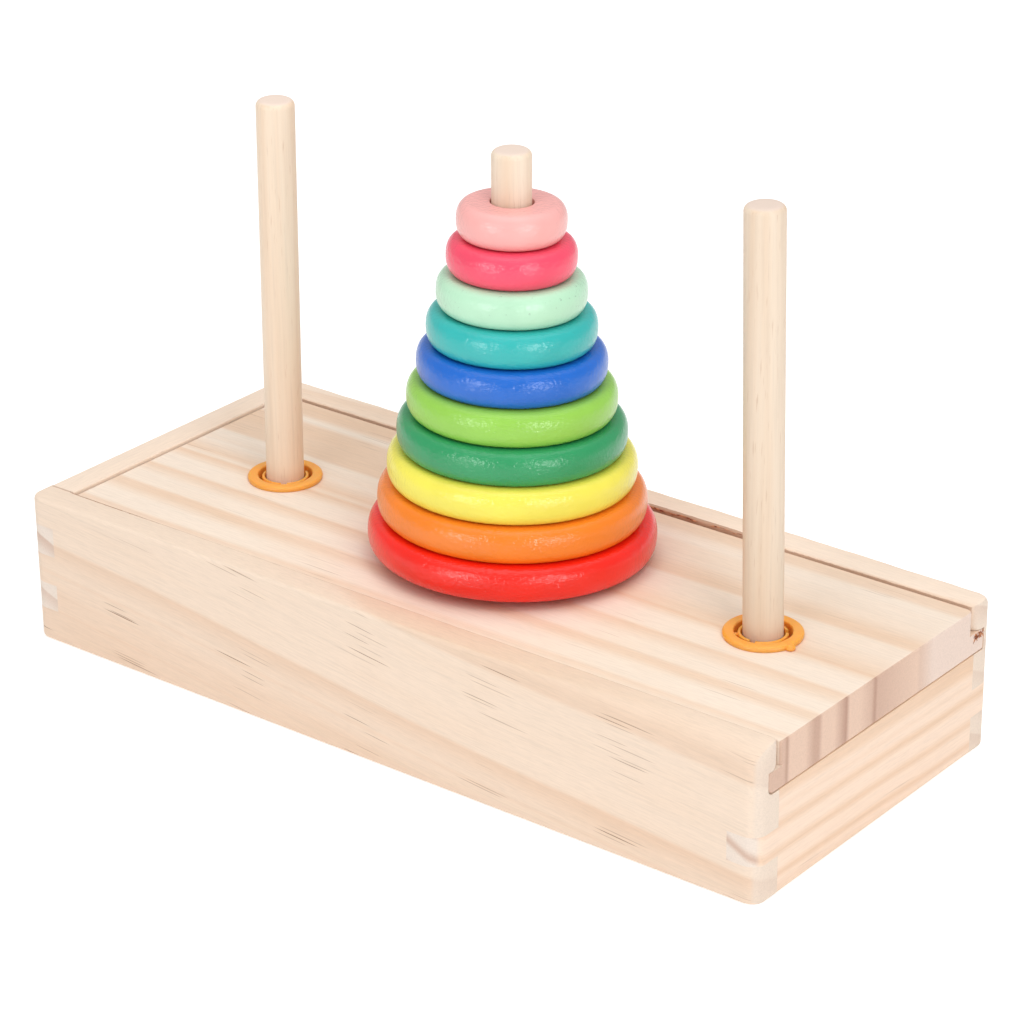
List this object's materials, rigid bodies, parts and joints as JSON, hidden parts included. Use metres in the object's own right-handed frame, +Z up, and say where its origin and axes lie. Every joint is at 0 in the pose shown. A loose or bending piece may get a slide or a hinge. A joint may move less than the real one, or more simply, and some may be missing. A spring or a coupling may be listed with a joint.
{
  "type": "tower of hanoi puzzle",
  "caption": "Finger-jointed wooden box whose sliding lid carries upright pegs in plastic sockets, with graded painted discs stacked on the middle peg.",
  "frame": {"origin": "centre of the box's footprint on the surface it stands on", "axes": "+Z up along the pegs, +X along the box towards the end where the lid slides out, -Y towards the front"},
  "size_m": [0.2336, 0.102, 0.1499],
  "materials": {
    "pine": "sanded bare pine",
    "lid_pine": "sanded quarter-sawn pine",
    "panel_wood": "bare plywood",
    "dowel_wood": "smooth turned wood",
    "socket_plastic": "moulded plastic",
    "paint_red": "gloss paint on wood",
    "paint_orange": "gloss paint on wood",
    "paint_yellow": "gloss paint on wood",
    "paint_green": "gloss paint on wood",
    "paint_lime": "gloss paint on wood",
    "paint_blue": "gloss paint on wood",
    "paint_teal": "gloss paint on wood",
    "paint_mint": "gloss paint on wood",
    "paint_pink": "gloss paint on wood",
    "paint_light_pink": "gloss paint on wood"
  },
  "bodies": {
    "box": {"front_wall": "pine", "rear_wall": "pine", "left_end_wall": "pine", "right_end_wall": "pine", "bottom_panel": "panel_wood"},
    "lid": {"sliding_lid": "lid_pine", "socket_left": "socket_plastic", "socket_middle": "socket_plastic", "socket_right": "socket_plastic"},
    "peg_left": {"peg_left": "dowel_wood"},
    "peg_middle": {"peg_middle": "dowel_wood"},
    "peg_right": {"peg_right": "dowel_wood"},
    "disc_red": {"disc_red": "paint_red"},
    "disc_orange": {"disc_orange": "paint_orange"},
    "disc_yellow": {"disc_yellow": "paint_yellow"},
    "disc_green": {"disc_green": "paint_green"},
    "disc_lime": {"disc_lime": "paint_lime"},
    "disc_blue": {"disc_blue": "paint_blue"},
    "disc_teal": {"disc_teal": "paint_teal"},
    "disc_mint": {"disc_mint": "paint_mint"},
    "disc_pink": {"disc_pink": "paint_pink"},
    "disc_light_pink": {"disc_light_pink": "paint_light_pink"}
  },
  "joints": [
    {"name": "lid_slide", "type": "slide", "parent": "box", "child": "lid", "axis": [1, 0, 0], "range_m": [0, 0.225]},
    {"name": "peg_left_pull", "type": "slide", "parent": "lid", "child": "peg_left", "axis": [0.0157, 0, 0.9999], "range_m": [0, 0.02]},
    {"name": "peg_middle_pull", "type": "slide", "parent": "lid", "child": "peg_middle", "axis": [0.003, 0.008, 1], "range_m": [0, 0.11]},
    {"name": "peg_right_pull", "type": "slide", "parent": "lid", "child": "peg_right", "axis": [-0.0192, 0, 0.9998], "range_m": [0, 0.02]},
    {"name": "red_lift", "type": "slide", "parent": "lid", "child": "disc_red", "axis": [0.003, 0.008, 1], "range_m": [0, 0.11]},
    {"name": "orange_lift", "type": "slide", "parent": "disc_red", "child": "disc_orange", "axis": [0.003, 0.008, 1], "range_m": [0, 0.101]},
    {"name": "yellow_lift", "type": "slide", "parent": "disc_orange", "child": "disc_yellow", "axis": [0.003, 0.008, 1], "range_m": [0, 0.092]},
    {"name": "green_lift", "type": "slide", "parent": "disc_yellow", "child": "disc_green", "axis": [0.003, 0.008, 1], "range_m": [0, 0.082]},
    {"name": "lime_lift", "type": "slide", "parent": "disc_green", "child": "disc_lime", "axis": [0.003, 0.008, 1], "range_m": [0, 0.073]},
    {"name": "blue_lift", "type": "slide", "parent": "disc_lime", "child": "disc_blue", "axis": [0.003, 0.008, 1], "range_m": [0, 0.064]},
    {"name": "teal_lift", "type": "slide", "parent": "disc_blue", "child": "disc_teal", "axis": [0.003, 0.008, 1], "range_m": [0, 0.055]},
    {"name": "mint_lift", "type": "slide", "parent": "disc_teal", "child": "disc_mint", "axis": [0.003, 0.008, 1], "range_m": [0, 0.045]},
    {"name": "pink_lift", "type": "slide", "parent": "disc_mint", "child": "disc_pink", "axis": [0.003, 0.008, 1], "range_m": [0, 0.036]},
    {"name": "light_pink_lift", "type": "slide", "parent": "disc_pink", "child": "disc_light_pink", "axis": [0.003, 0.008, 1], "range_m": [0, 0.027]}
  ]
}
